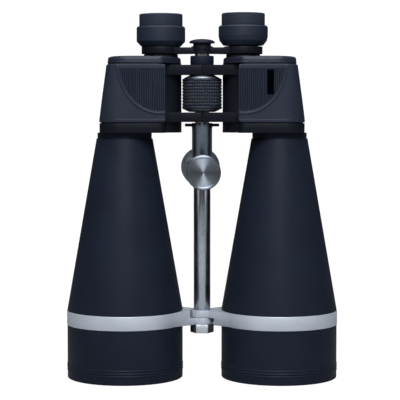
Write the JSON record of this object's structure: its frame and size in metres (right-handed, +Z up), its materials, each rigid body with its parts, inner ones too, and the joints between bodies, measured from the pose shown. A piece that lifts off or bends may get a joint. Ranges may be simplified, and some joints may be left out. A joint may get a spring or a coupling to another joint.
{
  "type": "binoculars",
  "caption": "Large Porro-prism binoculars with conical barrels, centre focus wheel, silver brace rings and a sliding tripod post on the hinge rod.",
  "frame": {"origin": "on the hinge axis, level with the objective ends of the two barrels", "axes": "+Z up the hinge axis from the objectives to the eyepieces, +X across to the diopter side, +Y from the lock knob's side to the tripod foot's side"},
  "size_m": [0.2242, 0.0964, 0.3009],
  "materials": {
    "body_paint": "fine crinkle black paint over cast aluminium, semi-matt",
    "inner_black": "matt black anodised",
    "coated_glass": "multi-coated, faint green reflection",
    "prism_glass": "polished",
    "satin_silver": "satin silver paint over metal",
    "armour_rubber": "matt, fine pebble grain and ribs",
    "cover_plastic": "fine texture",
    "black_steel": "blackened",
    "inner_metal": "turned",
    "band_rubber": "matt",
    "cup_rubber": "matt",
    "rod_metal": "satin silver",
    "wheel_rubber": "knurled blocks",
    "bush_brass": "turned",
    "post_metal": "turned face, knurled rim",
    "plate_plastic": "plain, smooth"
  },
  "bodies": {
    "left half": {"left_objective_barrel": "body_paint", "left_objective_cell": "inner_black", "left_retaining_ring": "inner_black", "left_front_lens": "coated_glass", "left_rear_lens": "coated_glass", "left_brace_ring": "satin_silver", "left_prism_housing": "body_paint", "left_armour": "armour_rubber", "left_top_cover": "cover_plastic", "left_cover_screws": "black_steel", "left_prism_shelf": "inner_metal", "left_upper_prism": "prism_glass", "left_lower_prism": "prism_glass", "left_guide_tube": "inner_black", "brace_rod": "rod_metal", "rod_nut": "rod_metal", "rod_socket": "rod_metal", "hinge_washer": "inner_black", "hinge_axle": "inner_metal", "hinge_collar": "body_paint"},
    "right half": {"right_objective_barrel": "body_paint", "right_objective_cell": "inner_black", "right_retaining_ring": "inner_black", "right_front_lens": "coated_glass", "right_rear_lens": "coated_glass", "right_brace_ring": "satin_silver", "right_prism_housing": "body_paint", "right_armour": "armour_rubber", "right_top_cover": "cover_plastic", "right_cover_screws": "black_steel", "right_prism_shelf": "inner_metal", "right_upper_prism": "prism_glass", "right_lower_prism": "prism_glass", "right_guide_tube": "inner_black", "name_plate": "plate_plastic"},
    "focus wheel": {"focus_wheel": "wheel_rubber"},
    "left eyepiece": {"left_bridge_arm": "body_paint", "left_eyepiece_barrel": "inner_black", "left_grip_band": "band_rubber", "left_ocular_cell": "inner_black", "left_eye_lens": "coated_glass", "left_field_lens": "coated_glass", "focus_spindle": "inner_metal", "bridge_cap": "body_paint"},
    "right eyepiece": {"right_bridge_arm": "body_paint", "right_eyepiece_barrel": "inner_black"},
    "diopter ring": {"right_grip_band": "band_rubber"},
    "right ocular": {"right_ocular_cell": "inner_black", "right_eye_lens": "coated_glass", "right_field_lens": "coated_glass"},
    "left cup sleeve": {"left_eyecup_sleeve": "inner_black"},
    "left eyecup": {"left_eyecup": "cup_rubber"},
    "right cup sleeve": {"right_eyecup_sleeve": "inner_black"},
    "right eyecup": {"right_eyecup": "cup_rubber"},
    "post slider": {"slider_bush": "bush_brass"},
    "tripod post": {"tripod_post": "post_metal"},
    "lock knob": {"lock_knob": "post_metal"}
  },
  "joints": [
    {"name": "interpupillary_hinge", "type": "hinge", "parent": "left half", "child": "right half", "pos_m": [0, 0, 0.235], "axis": [0, 0, 1], "range_deg": [0, 42]},
    {"name": "focus_turn", "type": "hinge", "parent": "left half", "child": "focus wheel", "pos_m": [0, 0, 0.235], "axis": [0, 0, 1], "range_deg": [0, 540]},
    {"name": "left_eyepiece_focus", "type": "slide", "parent": "left half", "child": "left eyepiece", "axis": [0, 0, 1], "range_m": [0, 0.009]},
    {"name": "right_eyepiece_focus", "type": "slide", "parent": "right half", "child": "right eyepiece", "axis": [0, 0, 1], "range_m": [0, 0.009]},
    {"name": "diopter_turn", "type": "hinge", "parent": "right eyepiece", "child": "diopter ring", "pos_m": [0.034, 0.006, 0.28], "axis": [0, 0, 1], "range_deg": [-60, 60]},
    {"name": "diopter_shift", "type": "slide", "parent": "right eyepiece", "child": "right ocular", "axis": [0, 0, 1], "range_m": [-0.0015, 0.0015]},
    {"name": "left_eyecup_twist", "type": "hinge", "parent": "left eyepiece", "child": "left cup sleeve", "pos_m": [-0.034, 0.006, 0.285], "axis": [0, 0, 1], "range_deg": [0, 100]},
    {"name": "left_eyecup_rise", "type": "slide", "parent": "left cup sleeve", "child": "left eyecup", "axis": [0, 0, 1], "range_m": [-0.008, 0]},
    {"name": "right_eyecup_twist", "type": "hinge", "parent": "right ocular", "child": "right cup sleeve", "pos_m": [0.034, 0.006, 0.285], "axis": [0, 0, 1], "range_deg": [0, 100]},
    {"name": "right_eyecup_rise", "type": "slide", "parent": "right cup sleeve", "child": "right eyecup", "axis": [0, 0, 1], "range_m": [-0.008, 0]},
    {"name": "post_slide", "type": "slide", "parent": "left half", "child": "post slider", "axis": [0, 0, 1], "range_m": [-0.095, 0]},
    {"name": "post_swivel", "type": "hinge", "parent": "post slider", "child": "tripod post", "pos_m": [0, 0, 0.1706], "axis": [0, 0, 1], "range_deg": [-15, 15]},
    {"name": "lock_knob_turn", "type": "hinge", "parent": "tripod post", "child": "lock knob", "pos_m": [0, 0, 0.1706], "axis": [-0.0349, 0.9994, 0], "range_deg": [0, 540]}
  ],
  "couplings": [
    {"joint": "left_eyepiece_focus", "follows": "focus_turn", "m_per_rad": 0.00095},
    {"joint": "right_eyepiece_focus", "follows": "focus_turn", "m_per_rad": 0.00095},
    {"joint": "diopter_shift", "follows": "diopter_turn", "m_per_rad": 0.0014},
    {"joint": "left_eyecup_rise", "follows": "left_eyecup_twist", "m_per_rad": -0.0045},
    {"joint": "right_eyecup_rise", "follows": "right_eyecup_twist", "m_per_rad": -0.0045}
  ]
}
